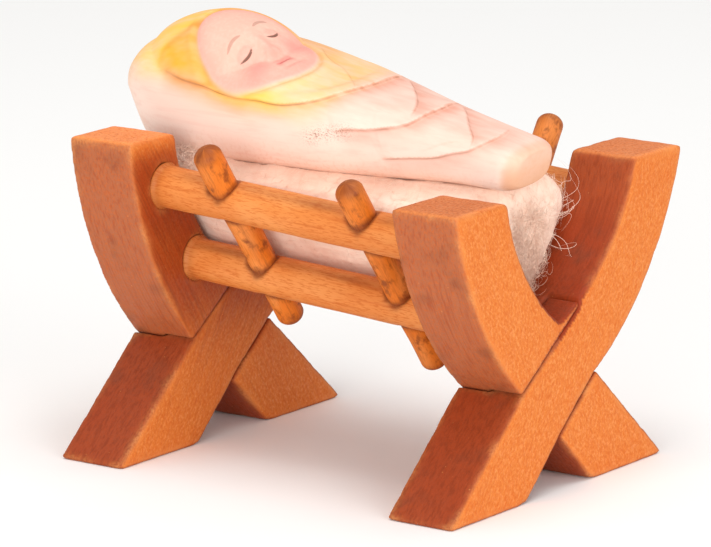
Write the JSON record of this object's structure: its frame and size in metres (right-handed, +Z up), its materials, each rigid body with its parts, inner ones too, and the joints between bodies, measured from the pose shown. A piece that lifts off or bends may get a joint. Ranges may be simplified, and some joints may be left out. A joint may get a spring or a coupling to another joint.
{
  "type": "swaddled baby figurine in a manger",
  "caption": "Carved and painted wooden swaddled baby lying on a tuft of raw wool in a wooden manger with crossed ends, round rails and slanted pegs.",
  "frame": {"origin": "middle of the model's box at the underside of its feet, on the surface it stands on", "axes": "+X along the manger towards the foot end, -Y to the left side seen from the foot end, +Z up"},
  "size_m": [0.0994, 0.077, 0.083],
  "materials": {
    "painted_wood": "matte, thin white and yellow wash with faint grain",
    "raw_wool": "raw carded wool, fluffy, undyed",
    "board_wood": "orange stain, sanded, satin, speckled end grain",
    "rail_wood": "orange stain, satin, long grain dashes",
    "peg_wood": "darker orange-brown stain, satin"
  },
  "bodies": {
    "root": {"swaddled_baby": "painted_wood", "wool_bedding": "raw_wool", "head_trestle_board_a": "board_wood", "head_trestle_board_b": "board_wood", "foot_trestle_board_a": "board_wood", "foot_trestle_board_b": "board_wood", "left_upper_rail": "rail_wood", "left_lower_rail": "rail_wood", "right_upper_rail": "rail_wood", "right_lower_rail": "rail_wood", "left_peg_1": "peg_wood", "left_peg_2": "peg_wood", "right_peg_1": "peg_wood", "right_peg_2": "peg_wood"}
  },
  "joints": []
}
